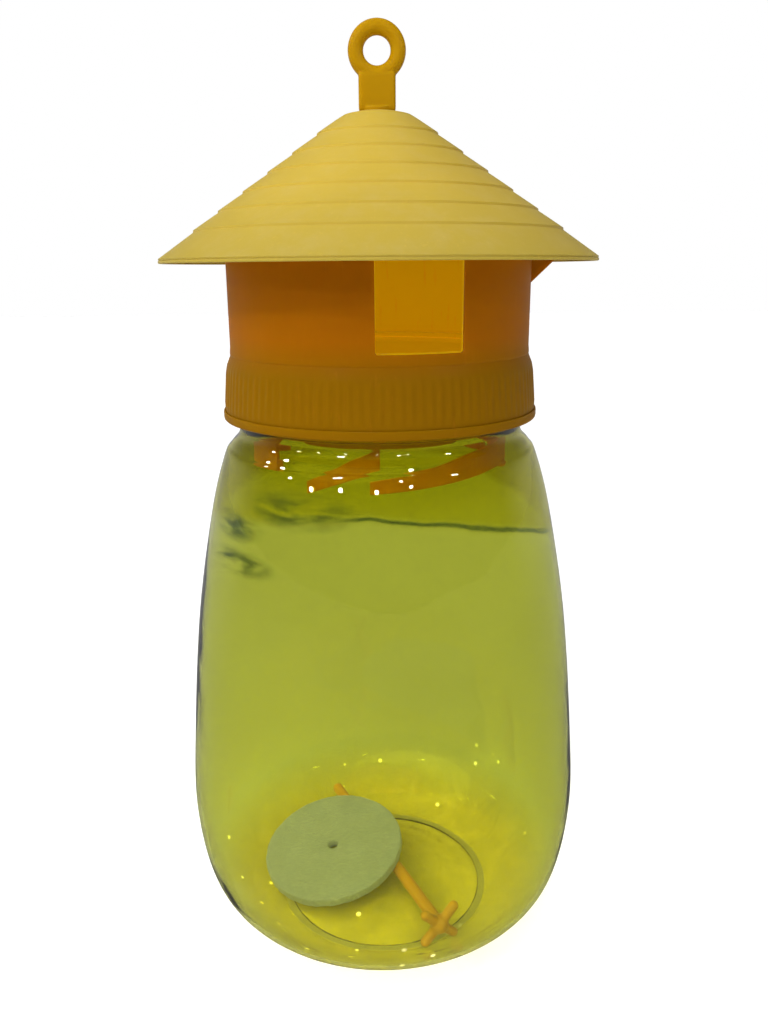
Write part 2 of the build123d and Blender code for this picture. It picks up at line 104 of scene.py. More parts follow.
class WaspTrapColours(bpy.types.PropertyGroup):
    """Base colours of the finishes."""
    jar: colour("Jar", "Tint of the clear jar", (0.655, 0.685, 0.20))
    # Partly painted light: a deeper yellow for the thick plastic, kept light to stand in for light
    # gathered under the jar.
    base: colour("Jar base", "Tint of the jar's thick base", (0.70, 0.63, 0.060))
    cap: colour("Cap", "Amber of the drum", (0.405, 0.128, 0.0002))
    skirt: colour("Skirt", "Olive amber of the cap's skirt", (0.275, 0.124, 0.0002))
    roof: colour("Roof", "Pale yellow of the roof", (0.615, 0.435, 0.058))
    # Painted shade: the roof is all one plastic, and this duller yellow darkens its lower part.
    eaves: colour("Eaves", "Duller yellow of the roof's lower part", (0.50, 0.370, 0.055))
    hanger: colour("Hanger", "Amber of the eye", (0.49, 0.26, 0.0003))
    # Painted light: the drum's inner faces are the same plastic as its outside, lightened to stand
    # in for light coming through the wall.
    inside: colour("Drum inside", "Lighter amber of the drum's inner faces", (0.95, 0.62, 0.003))
    baffle: colour("Baffle", "Orange of the neck baffle's funnel", (0.95, 0.60, 0.004))
    fins: colour("Fins", "Darker orange of the baffle's fins", (0.60, 0.27, 0.002))
    rod: colour("Lure rod", "Orange of the lure rod", (0.50, 0.265, 0.001))
    disc: colour("Lure disc", "Grey green of the pressed disc", (0.285, 0.322, 0.46))
    floor: colour("Floor", "Pale floor", (0.90, 0.90, 0.90))


def sizes():
    return bpy.context.scene.wasp_trap_sizes


def colours():
    return bpy.context.scene.wasp_trap_colours


# ---- mesh helpers -----------------------------------------------------------------------

def smooth_run(points, per_span=8):
    """Points of a smooth curve through the given (radius, height) points."""
    ends = [points[0]] + list(points) + [points[-1]]
    run = []
    for a, b, c, d in zip(ends, ends[1:], ends[2:], ends[3:]):
        for k in range(per_span):
            t = k / per_span
            run.append(tuple(
                0.5 * (2 * q + (r - p) * t + (2 * p - 5 * q + 4 * r - s) * t * t
                       + (3 * q - p - 3 * r + s) * t ** 3)
                for p, q, r, s in zip(a, b, c, d)))
    run.append(points[-1])
    return run


def moved_in(run, wall):
    """The run moved towards the axis side by the wall, along its normals."""
    moved = []
    for i, (r, z) in enumerate(run):
        before, after = run[max(i - 1, 0)], run[min(i + 1, len(run) - 1)]
        dr, dz = after[0] - before[0], after[1] - before[1]
        span = hypot(dr, dz)
        moved.append((max(r - wall * dz / span, 0.0), z + wall * dr / span))
    return moved


def rounded(points, radius, steps=3):
    """A closed or open outline with each of its corners cut to a small arc."""
    result = []
    count = len(points)
    for i, here in enumerate(points):
        here = Vector(here)
        before = Vector(points[i - 1]) - here
        after = Vector(points[(i + 1) % count]) - here
        reach = min(radius, 0.45 * before.length, 0.45 * after.length)
        start = here + before.normalized() * reach
        end = here + after.normalized() * reach
        for k in range(steps + 1):
            t = k / steps
            result.append(tuple((1 - t) ** 2 * start + 2 * t * (1 - t) * here + t * t * end))
    return result


def spun(points, steps, closed=True):
    """Bmesh of a (radius, height) outline turned full round Z."""
    bm = bmesh.new()
    verts = [bm.verts.new((r, 0.0, z)) for r, z in points]
    pairs = list(zip(verts, verts[1:]))
    if closed:
        pairs.append((verts[-1], verts[0]))
    edges = [bm.edges.new(pair) for pair in pairs]
    bmesh.ops.spin(bm, geom=verts + edges, axis=(0, 0, 1), cent=(0, 0, 0),
                   steps=steps, angle=tau, use_merge=True)
    tidy(bm)
    return bm


def tidy(bm):
    """Closes seams and poles, then turns every face outwards."""
    bmesh.ops.remove_doubles(bm, verts=bm.verts, dist=2e-6)
    bmesh.ops.dissolve_degenerate(bm, edges=bm.edges, dist=1e-6)
    bmesh.ops.recalc_face_normals(bm, faces=bm.faces)


def helix_ridge(section, bottom, turns, pitch, steps_per_turn=96):
    """Bmesh of a thread: a small (radius, height) section turned up a right-handed helix."""
    bm = bmesh.new()
    verts = [bm.verts.new((r, 0.0, z + bottom)) for r, z in section]
    face = bm.faces.new(verts)
    steps = int(steps_per_turn * turns)
    swept = bmesh.ops.spin(bm, geom=[face], axis=(0, 0, 1), cent=(0, 0, 0), steps=steps,
                           angle=tau * turns, dvec=(0, 0, pitch * turns / steps))
    end = [item for item in swept["geom_last"] if isinstance(item, bmesh.types.BMFace)]
    if not end:
        raise RuntimeError("the thread has no end face")
    tidy(bm)
    return bm


def piece(bm, name, sharp=35.0):
    """Object of a finished bmesh, smooth with sharp edges past an angle in degrees."""
    mesh = bpy.data.meshes.new(name)
    bm.to_mesh(mesh)
    bm.free()
    return shown(mesh, name, sharp)


def shown(mesh, name, sharp=35.0):
    mesh.shade_smooth()
    mesh.set_sharp_from_angle(angle=radians(sharp))
    obj = bpy.data.objects.new(name, mesh)
    bpy.context.scene.collection.objects.link(obj)
    return obj


def with_modifiers(obj, sharp=35.0):
    """Replaces the object's mesh with what its modifiers make of it, and drops them."""
    bpy.context.view_layer.update()
    made = bpy.data.meshes.new_from_object(
        obj.evaluated_get(bpy.context.evaluated_depsgraph_get()))
    obj.modifiers.clear()
    obj.data = made
    made.shade_smooth()
    made.set_sharp_from_angle(angle=radians(sharp))
    return obj


def combined(obj, others, operation, sharp=35.0):
    """Boolean of an object with others, which are used up."""
    for other in others:
        change = obj.modifiers.new(operation, "BOOLEAN")
        change.operation = operation
        change.solver = "EXACT"
        change.object = other
    with_modifiers(obj, sharp)
    for other in others:
        bpy.data.objects.remove(other)
    return obj


def placed(obj, body, slot, material, *nodes):
    """Gives a piece its material and its body, and hides the CAD nodes that it stands for; slot is
    not used.
    """
    obj.data.materials.clear()
    obj.data.materials.append(material)
    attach(obj, body)
    if nodes:
        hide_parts(*nodes)
    return obj


# ---- shader helpers and groups ------------------------------------------------------------

def node_group(name, inputs, outputs):
    """Empty shader group with float or vector sockets, and its two end nodes."""
    group = bpy.data.node_groups.new(name, "ShaderNodeTree")
    for label, kind, default in inputs:
        socket = group.interface.new_socket(label, in_out="INPUT", socket_type=kind)
        if default is not None:
            socket.default_value = default
    for label, kind in outputs:
        group.interface.new_socket(label, in_out="OUTPUT", socket_type=kind)
    return group, group.nodes.new("NodeGroupInput"), group.nodes.new("NodeGroupOutput")


def add(tree, kind, inputs=None, **properties):
    """A node with its properties, and with inputs set by name."""
    node = tree.nodes.new("ShaderNode" + kind)
    for key, value in properties.items():
        setattr(node, key, value)
    for label, value in (inputs or {}).items():
        put(tree, node.inputs[label], value)
    return node


def put(tree, socket, value):
    """Links an input to a socket, or sets it to a number, vector or colour."""
    if isinstance(value, bpy.types.NodeSocket):
        tree.links.new(value, socket)
    else:
        socket.default_value = value


def maths(tree, operation, *values):
    """Result of a Math node on sockets and numbers."""
    node = add(tree, "Math", operation=operation)
    for socket, value in zip(node.inputs, values):
        put(tree, socket, value)
    return node.outputs["Value"]


def vector_maths(tree, operation, *values):
    """Result of a Vector Math node, which is one number for a length."""
    node = add(tree, "VectorMath", operation=operation)
    for socket, value in zip(node.inputs, values):
        put(tree, socket, value)
    return node.outputs["Value" if operation == "LENGTH" else "Vector"]


def spread(tree, value, low, high, to_low=0.0, to_high=1.0):
    """The value carried from one range to another, and kept inside it."""
    node = add(tree, "MapRange", {"Value": value, "From Min": low, "From Max": high,
                                  "To Min": to_low, "To Max": to_high})
    return node.outputs["Result"]


def in_range(tree, share, low, high):
    """A 0 to 1 socket spread between two numbers."""
    return spread(tree, share, 0.0, 1.0, low, high)


def clouds(tree, vector, scale, detail=2.0, roughness=0.5, distortion=0.0):
    """Factor of a noise texture; scale may be a socket."""
    node = add(tree, "TexNoise", {"Vector": vector, "Scale": scale, "Detail": detail,
                                  "Roughness": roughness, "Distortion": distortion})
    return node.outputs["Fac"]


def stretched(tree, vector, scale, turn=0.0):
    """The vector scaled along each axis, after a turn round Z."""
    node = add(tree, "Mapping", {"Vector": vector, "Scale": scale, "Rotation": (0.0, 0.0, turn)})
    return node.outputs["Vector"]


def part_of(tree, vector, axis):
    """One of the X, Y and Z parts of a vector."""
    return add(tree, "SeparateXYZ", {"Vector": vector}).outputs[axis]


def moulded_skin():
    """Fine moulded-plastic surface: a height, a broad mottle and upright scuffs."""
    group, start, end = node_group(
        "moulded_skin",
        [("Vector", "NodeSocketVector", None), ("Grain", "NodeSocketFloat", 2500.0),
         ("Waves", "NodeSocketFloat", 60.0)],
        [("Height", "NodeSocketFloat"), ("Mottle", "NodeSocketFloat"),
         ("Scuffs", "NodeSocketFloat")])
    vector = start.outputs["Vector"]
    grain = clouds(group, vector, start.outputs["Grain"], 3.0, 0.6)
    waves = clouds(group, vector, start.outputs["Waves"])
    scuffs = clouds(group, stretched(group, vector, (1.0, 1.0, 0.12)), 900.0, 4.0, 0.7)
    put(group, end.inputs["Height"], maths(group, "MULTIPLY_ADD", grain, 0.25, waves))
    put(group, end.inputs["Mottle"], waves)
    put(group, end.inputs["Scuffs"], spread(group, scuffs, 0.58, 0.72))
    return group


def settled_dust():
    """Mask of fine dust that lies on upward faces, in patches."""
    group, start, end = node_group(
        "settled_dust",
        [("Vector", "NodeSocketVector", None), ("Amount", "NodeSocketFloat", 0.3)],
        [("Mask", "NodeSocketFloat")])
    normal = add(group, "NewGeometry").outputs["Normal"]
    upward = spread(group, part_of(group, normal, "Z"), 0.2, 0.95)
    patches = spread(group, clouds(group, start.outputs["Vector"], 140.0, 6.0, 0.7), 0.45, 0.75)
    film = maths(group, "MULTIPLY", upward, patches)
    put(group, end.inputs["Mask"], maths(group, "MULTIPLY", film, start.outputs["Amount"]))
    return group


def shoulder_shade_line():
    """Masks of painted shade on the jar's shoulder: a thin dark wavy line across the front, and
    the darker zone above it.
    """
    group, start, end = node_group(
        "shoulder_shade_line", [("Vector", "NodeSocketVector", None)],
        [("Line", "NodeSocketFloat"), ("Above", "NodeSocketFloat")])
    vector = start.outputs["Vector"]
    x, y, z = (part_of(group, vector, axis) for axis in "XYZ")
    from_middle = maths(group, "ADD", x, 4 * MM)
    square = maths(group, "MULTIPLY", from_middle, from_middle)
    sagged = maths(group, "MULTIPLY_ADD", square, 5.5, z)
    waved = maths(group, "MULTIPLY_ADD", clouds(group, vector, 90.0, 3.0), 2.5 * MM, sagged)
    over = maths(group, "SUBTRACT", waved, SHADE_LINE_HEIGHT)
    thin = spread(group, maths(group, "ABSOLUTE", over), 0.1 * MM, 0.5 * MM, 1.0, 0.0)
    front = spread(group, y, -10 * MM, -16 * MM)
    right = spread(group, x, -12 * MM, -4 * MM)
    where = maths(group, "MULTIPLY", front, right)
    put(group, end.inputs["Line"], maths(group, "MULTIPLY", where, thin))
    put(group, end.inputs["Above"], spread(group, over, -1.2 * MM, 1.2 * MM))
    return group


def smear():
    """Mask of one streaky smear: an oval round Centre, of half widths Size."""
    group, start, end = node_group(
        "smear",
        [("Vector", "NodeSocketVector", None), ("Centre", "NodeSocketVector", None),
         ("Size", "NodeSocketVector", None)],
        [("Mask", "NodeSocketFloat")])
    vector = start.outputs["Vector"]
    offset = vector_maths(group, "SUBTRACT", vector, start.outputs["Centre"])
    share = vector_maths(group, "DIVIDE", offset, start.outputs["Size"])
    fade = spread(group, vector_maths(group, "LENGTH", share), 1.0, 0.35)
    streaks = clouds(group, stretched(group, vector, (1.0, 1.0, 4.5)), 110.0, 5.0,
                     distortion=0.8)
    put(group, end.inputs["Mask"],
        maths(group, "MULTIPLY", fade, spread(group, streaks, 0.36, 0.60)))
    return group


def painted_sparkles():
    """Mask of sparse bright specks near the jar's base: painted highlights, given as emission,
    that stand in for ripples in the thick base catching the light.
    """
    group, start, end = node_group(
        "painted_sparkles", [("Vector", "NodeSocketVector", None)], [("Mask", "NodeSocketFloat")])
    vector = start.outputs["Vector"]
    cells = add(group, "TexVoronoi", {"Vector": vector, "Scale": 170.0})
    speck = spread(group, cells.outputs["Distance"], 0.13, 0.05)
    few = spread(group, part_of(group, cells.outputs["Color"], "X"), 0.62, 0.80)
    low = spread(group, part_of(group, vector, "Z"), 24 * MM, 6 * MM)
    some = maths(group, "MULTIPLY", speck, few)
    put(group, end.inputs["Mask"], maths(group, "MULTIPLY", some, low))
    return group


def use_group(tree, build, vector, **values):
    """A node of a shader group, which is built the first time that it is asked for."""
    node = tree.nodes.new("ShaderNodeGroup")
    node.node_tree = bpy.data.node_groups.get(build.__name__) or build()
    put(tree, node.inputs["Vector"], vector)
    for label, value in values.items():
        put(tree, node.inputs[label], value)
    return node


# ---- materials ---------------------------------------------------------------------------

# Height of the painted shade line, and centre and half widths of each smear on the shoulder
SHADE_LINE_HEIGHT = 112 * MM
SMEARS = (
    ((-0.017, -0.034, 0.1115), (0.014, 0.012, 0.0042)),
    ((-0.031, -0.024, 0.1060), (0.010, 0.012, 0.0035)),
    ((-0.030, -0.027, 0.0990), (0.012, 0.014, 0.0030)),
)
# Dark tint of the smears on the shoulder, and of the painted shade line.
SMEAR_AND_SHADE_TINT = (0.12, 0.17, 0.05, 1.0)
DUST = (0.80, 0.74, 0.55, 1.0)


def new_material(name):
    """Material with only a Principled: returns it, its tree, the Principled and a vector."""
    material = bpy.data.materials.new(name)
    material.use_nodes = True
    tree = material.node_tree
    place = add(tree, "TexCoord")
    mapping = add(tree, "Mapping", {"Vector": place.outputs["Object"]})
    return material, tree, tree.nodes["Principled BSDF"], mapping.outputs["Vector"]


def shade(rgb, factor=1.0):
    """The colour times a factor, with alpha."""
    return (rgb[0] * factor, rgb[1] * factor, rgb[2] * factor, 1.0)


def mixed(tree, factor, low, high):
    """Colour mix of two colours or sockets by a factor socket."""
    mix = add(tree, "Mix", data_type="RGBA")
    for label, value in (("Factor", factor), ("A", low), ("B", high)):
        put(tree, mix.inputs[label], value)
    return mix.outputs["Result"]


def bumped(tree, principled, height, strength, distance):
    bump = add(tree, "Bump", {"Height": height, "Strength": strength, "Distance": distance})
    tree.links.new(bump.outputs["Normal"], principled.inputs["Normal"])


def by_height(tree, vector, low, high):
    """0 to 1 socket that changes between two heights."""
    return spread(tree, part_of(tree, vector, "Z"), low, high)


def by_radius(tree, vector, low, high):
    """0 to 1 socket that changes between two distances from the axis."""
    flat = vector_maths(tree, "MULTIPLY", vector, (1.0, 1.0, 0.0))
    return spread(tree, vector_maths(tree, "LENGTH", flat), low, high)


def moulded_plastic(name, rgb, rough, dust, translucency, specular, lower=None, inner=None,
                    glow=0.0):
    """Satin translucent plastic with flow mottle, fine grain, scuffs and dust.

    lower gives the colour below a height, as (colour, low, high), and inner the colour nearer the
    axis, as (colour, near, far), which is painted light; glow is painted light too, an emission
    that stands in for the light that the wall lets through, and that is given only nearer the axis
    when inner is set."""
    material, tree, principled, vector = new_material(name)
    skin = use_group(tree, moulded_skin, vector)
    film = use_group(tree, settled_dust, vector, Amount=dust)
    base = mixed(tree, skin.outputs["Mottle"], shade(rgb, 0.94), shade(rgb, 1.06))
    if lower:
        base = mixed(tree, by_height(tree, vector, lower[1], lower[2]), shade(lower[0]), base)
    if inner:
        # Painted light: a lighter colour and a glow nearer the axis.
        inner_painted_light = by_radius(tree, vector, inner[1], inner[2])
        base = mixed(tree, inner_painted_light, shade(inner[0]), base)
        glow = in_range(tree, inner_painted_light, glow, 0.0)
    scuffed = shade([min(c * 1.2 + 0.01, 1) for c in rgb])
    worn = mixed(tree, in_range(tree, skin.outputs["Scuffs"], 0.0, 0.2), base, scuffed)
    dusty = mixed(tree, film.outputs["Mask"], worn, DUST)
    settings = {
        "Base Color": dusty,
        "Roughness": in_range(tree, skin.outputs["Mottle"], rough - 0.05, rough + 0.08),
        "Subsurface Weight": translucency,
        "Subsurface Radius": (1.0, 0.8, 0.2),
        "Subsurface Scale": 0.003,
        # The emission is painted light: a glow for light let through the wall.
        "Emission Color": dusty,
        "Emission Strength": glow,
        "Specular IOR Level": specular,
    }
    for label, value in settings.items():
        put(tree, principled.inputs[label], value)
    bumped(tree, principled, skin.outputs["Height"], 0.15, 0.2 * MM)
    return material


def tinted_clear():
    """Clear yellow-green jar plastic: wavy wall, a shoulder darkened partly by thicker plastic and
    partly by painted shade, a painted shade line, a thick base whose tint is partly painted light,
    smears, and painted highlights that glow near the base.
    """
    rgb, base_tint_with_painted_light = colours().jar, colours().base
    material, tree, principled, vector = new_material("jar_tinted_clear")
    skin = use_group(tree, moulded_skin, vector, Grain=260.0, Waves=34.0)
    # Painted shade: a thin dark line across the front shoulder, and a deeper tint above it.
    line = use_group(tree, shoulder_shade_line, vector)
    tint = mixed(tree, skin.outputs["Mottle"], shade(rgb, 0.97), shade(rgb, 1.03))
    painted_shade_tint = (rgb[0] * 0.80, rgb[1] * 0.75, rgb[2] * 0.10, 1.0)
    tint = mixed(tree, line.outputs["Above"], tint, painted_shade_tint)
    # Darker shoulder above 111 mm: partly its thicker plastic, partly painted shade under the cap.
    dark = (rgb[0] * 0.62, rgb[1] * 0.56, rgb[2] * 0.05, 1.0)
    tint = mixed(tree, by_height(tree, vector, 111 * MM, 121 * MM), tint, dark)
    swirls = clouds(tree, vector, 95.0, 4.0, distortion=1.5)
    # Thick base: deeper yellow for the thick plastic, kept light as painted light for light
    # gathered under the jar.
    thick = mixed(tree, swirls, shade(base_tint_with_painted_light, 0.78), shade(base_tint_with_painted_light, 1.22))
    over_base = by_height(tree, vector, 4 * MM, 14 * MM)
    tint = mixed(tree, over_base, thick, tint)
    # The smears are marks on the jar; the painted shade line shares their tint.
    smear_and_shade_marks = line.outputs["Line"]
    for centre, size in SMEARS:
        patch = use_group(tree, smear, vector, Centre=centre, Size=size)
        smear_and_shade_marks = maths(tree, "MAXIMUM", smear_and_shade_marks, patch.outputs["Mask"])
    # Painted highlights: specks near the base that glow by emission.
    specks = use_group(tree, painted_sparkles, vector)
    settings = {
        "Base Color": mixed(tree, smear_and_shade_marks, tint, SMEAR_AND_SHADE_TINT),
        "Emission Color": (1.0, 0.93, 0.45, 1.0),
        "Emission Strength": in_range(tree, specks.outputs["Mask"], 0.0, 2.6),
        "Roughness": in_range(tree, skin.outputs["Scuffs"], 0.0, 0.05),
        "Transmission Weight": 1.0,
        "IOR": 1.5,
    }
    for label, value in settings.items():
        put(tree, principled.inputs[label], value)
    ripple = maths(tree, "MULTIPLY", swirls, in_range(tree, over_base, 0.8, 0.0))
    relief = maths(tree, "ADD", skin.outputs["Mottle"], ripple)
    bumped(tree, principled, relief, 0.25, 1.2 * MM)
    through = add(tree, "BsdfTransparent", {"Color": (0.99, 0.985, 0.965, 1.0)})
    share = add(tree, "MixShader", {"Fac": add(tree, "LightPath").outputs["Is Shadow Ray"]})
    tree.links.new(principled.outputs["BSDF"], share.inputs[1])
    tree.links.new(through.outputs["BSDF"], share.inputs[2])
    tree.links.new(share.outputs["Shader"], tree.nodes["Material Output"].inputs["Surface"])
    return material


def pressed_fibre():
    """Matted pale fibre: cloudy tone, fine hairs and a soft nap."""
    rgb = colours().disc
    material, tree, principled, vector = new_material("disc_pressed_fibre")
    cloudy = clouds(tree, vector, 120.0, 5.0, 0.65)
    hairs = clouds(tree, stretched(tree, vector, (1.0, 7.0, 1.0), 0.5), 700.0, 4.0,
                   distortion=0.6)
    tone = mixed(tree, cloudy, shade(rgb, 0.80), shade(rgb, 1.18))
    streak = spread(tree, hairs, 0.5, 0.75, 0.0, 0.5)
    both = mixed(tree, streak, tone, shade([c * 0.6 + 0.35 for c in rgb]))
    put(tree, principled.inputs["Base Color"], both)
    principled.inputs["Roughness"].default_value = 0.92
    principled.inputs["Sheen Weight"].default_value = 0.3
    bumped(tree, principled, hairs, 0.6, 0.4 * MM)
    return material


def mirror_rays(tree):
    """1 for rays that a glossy surface reflects, so that glare can be kept off the jar."""
    rays = add(tree, "LightPath")
    mirror = maths(tree, "MULTIPLY", rays.outputs["Is Glossy Ray"],
                   rays.outputs["Is Reflection Ray"])
    return rays, mirror


def stage_floor():
    """Matt pale floor, lifted to white for the camera and mirrored dimly by the jar."""
    rgb = colours().floor
    material, tree, principled, vector = new_material("stage_pale")
    pale = mixed(tree, clouds(tree, vector, 3.0), shade(rgb, 0.99), shade(rgb))
    front = spread(tree, part_of(tree, vector, "Y"), 0.5, 0.0, 0.5, 1.0)
    rays, mirror = mirror_rays(tree)
    glare = maths(tree, "MULTIPLY", front, mirror)
    put(tree, principled.inputs["Base Color"], mixed(tree, glare, pale, shade(rgb, 0.12)))
    principled.inputs["Roughness"].default_value = 0.9
    principled.inputs["Specular IOR Level"].default_value = 0.1
    lift = maths(tree, "MULTIPLY", rays.outputs["Is Camera Ray"], 0.36)
    put(tree, principled.inputs["Emission Strength"], lift)
    return material


def studio_world():
    """White to the camera; to the object bright behind and dim in front and overhead."""
    world = bpy.data.worlds.new("studio")
    world.use_nodes = True
    tree = world.node_tree
    direction = add(tree, "TexCoord").outputs["Generated"]
    behind = spread(tree, part_of(tree, direction, "Y"), -0.02, 0.42, 0.2, 1.0)
    overhead = spread(tree, part_of(tree, direction, "Z"), 0.05, 0.35, 1.0, 0.25)
    glow = maths(tree, "MULTIPLY", behind, overhead)
    rays, mirror = mirror_rays(tree)
    kept = maths(tree, "MULTIPLY", glow, in_range(tree, mirror, 1.0, 0.45))
    background = tree.nodes["Background"]
    put(tree, background.inputs["Strength"],
        maths(tree, "MAXIMUM", rays.outputs["Is Camera Ray"], kept))
    background.inputs["Color"].default_value = (1.0, 1.0, 1.0, 1.0)
    return world


# ---- places and sizes shared by the operators --------------------------------------------

# Foot of the neck's straight part
NECK_START = 123.4 * MM

# Threads: where they start, their turns, height, bite into the wall and half widths
JAR_THREAD_START = 129.5 * MM
CAP_THREAD_START = 131.5 * MM
THREAD_TURNS = 1.5
THREAD_DEPTH = 1.0 * MM
THREAD_BITE = 0.3 * MM
THREAD_FOOT = 1.0 * MM
THREAD_CREST = 0.45 * MM

# Cap: its bore, its inner ledge, the bead that holds the baffle, and its windows
CAP_BORE = 32.1 * MM
LEDGE_LOW, LEDGE_TOP = 140.5 * MM, 141.7 * MM
LEDGE_BORE = 28.6 * MM
BEAD_BORE = 30.8 * MM
SKIRT_TOP, RIB_TOP = 137.3 * MM, 137.0 * MM
WINDOW_TOP = 160.0 * MM
WINDOW_AZIMUTHS = (14.2, 198.2)

# Roof: its rise for each step inward, the radii where its tiers end and its crown starts,
# the height of one step, the boss bore, and the levels of the spigot and the boss
ROOF_SLOPE = 0.727
TIERS = [12.8 * MM + 5.3 * MM * k for k in range(6)]
CROWN = 7.8 * MM
TIER_STEP = 0.42 * MM
BOSS, BOSS_BORE, BOSS_LOW = 7.0 * MM, 3.06 * MM, 184.6 * MM
SPIGOT_LOW = 161 * MM

# Hanger: its eye, and its shank below and in the roof's boss
EYE_RADIUS, EYE_WIRE = 6.0 * MM, 1.6 * MM
PLUG, SHANK, SHANK_LOW = 2.2 * MM, 3.0 * MM, 184.55 * MM

# Baffle: its flange, and where the sloping fins start, how far they go round, their lowest
# height and how much they rise
FLANGE = 31.3 * MM
LONG_FIN = (-4.0, 76.0, RIM - 25.7 * MM, 3.0 * MM)
SHORT_FIN = (-31.0, 31.0, RIM - 26.3 * MM, 5.6 * MM)

# Lure: the rod's plain end and hub, and the disc's centre and upward normal
ROD_END = Vector((-13.8, 31.3, 6.4)) * MM
ROD_HUB = Vector((13.2, -24.7, 6.5)) * MM
DISC_CENTRE = Vector((-13.65, 1.7, 9.2)) * MM
DISC_NORMAL = Vector((-0.139, -0.137, 0.981)).normalized()

# Camera: place, degrees down and of roll, and lens
CAMERA_PLACE = (0.00074, -0.1945, 0.1572)
CAMERA_DOWN, CAMERA_ROLL = 15.86, -0.45
CAMERA_LENS = 30.034


# ---- operators ---------------------------------------------------------------------------

def thread(name, wall, crest, start, pitch):
    """Thread ridge that stands on a wall, with its crest inside or outside of it."""
    foot = wall + (THREAD_BITE if crest < wall else -THREAD_BITE)
    section = [(foot, -THREAD_FOOT), (crest, -THREAD_CREST), (crest, THREAD_CREST),
               (foot, THREAD_FOOT)]
    if crest < wall:
        section = [section[k] for k in (0, 3, 2, 1)]
    return piece(helix_ridge(section, start, THREAD_TURNS, pitch), name)


def blended(obj, voxel, rounds):
    """Melts the shapes of one object together with soft corners."""
    remesh = obj.modifiers.new("blend", "REMESH")
    remesh.mode = "VOXEL"
    remesh.voxel_size = voxel
    soften = obj.modifiers.new("soften", "SMOOTH")
    soften.iterations = rounds
    with_modifiers(obj, 60.0)


class WASPTRAP_OT_jar(bpy.types.Operator):
    """Blown jar with a domed base, a rounded shoulder and a threaded neck"""
    bl_idname = "wasptrap.jar"
    bl_label = "Jar"

    def execute(self, context):
        s = sizes()
        band = 1.0 * MM
        foot = s.stand_radius + band
        swell = s.belly_radius - foot
        taper = s.belly_radius - s.shoulder_radius
        span = s.shoulder_height - s.belly_height
        turn = s.shoulder_radius - s.neck_ring
        rise = NECK_START - s.shoulder_height
        inner_edge = s.stand_radius - band
        base = [(0.0, s.push_up - 0.35 * MM), (0.9 * MM, s.push_up - 0.35 * MM),
                (1.3 * MM, s.push_up)]
        for k in range(1, 41):
            share = k / 40
            ripple = 0.07 * MM * sin(share * 5.5 * tau) * share
            base.append((1.6 * MM + (inner_edge - 1.6 * MM) * share,
                         s.push_up * (1 - 0.82 * share ** 2) + ripple))
        side = smooth_run([
            (foot, 0.0),
            (foot + 0.42 * swell, 0.133 * s.belly_height),
            (foot + 0.84 * swell, 0.43 * s.belly_height),
            (s.belly_radius, s.belly_height),
            (s.belly_radius - 0.07 * taper, s.belly_height + 0.23 * span),
            (s.belly_radius - 0.325 * taper, s.belly_height + 0.575 * span),
            (s.belly_radius - 0.71 * taper, s.belly_height + 0.862 * span),
            (s.shoulder_radius, s.shoulder_height),
            (s.shoulder_radius - 0.40 * turn, s.shoulder_height + 0.43 * rise),
            (s.shoulder_radius - 0.86 * turn, s.shoulder_height + 0.75 * rise),
            (s.neck_ring, NECK_START),
        ])
        outer = base + [(inner_edge + 0.15 * MM, 0.0)] + side
        floor = [(inner_edge * k / 12, s.jar_wall + s.push_up * (1 - (k / 12) ** 2))
                 for k in range(13)]
        inner = floor + moved_in(side, s.jar_wall)[1:]
        neck = rounded([
            (s.neck_ring, NECK_START + 1.4 * MM),
            (s.neck_radius, NECK_START + 2.1 * MM),
            (s.neck_radius, RIM),
            (s.neck_bore, RIM),
            (s.neck_bore, NECK_START + 2.6 * MM),
            (s.neck_ring - s.jar_wall, NECK_START + 0.6 * MM),
        ], 0.4 * MM)
        bm = spun(outer + neck + inner[::-1], 160, closed=False)
        jar = piece(bm, "jar_shell")
        ridge = thread("jar_thread", s.neck_radius, s.neck_radius + THREAD_DEPTH,
                       JAR_THREAD_START, s.thread_pitch)
        combined(jar, [ridge], "UNION")
        placed(jar, "jar", "jar_tinted", tinted_clear(), "jar")
        return {"FINISHED"}


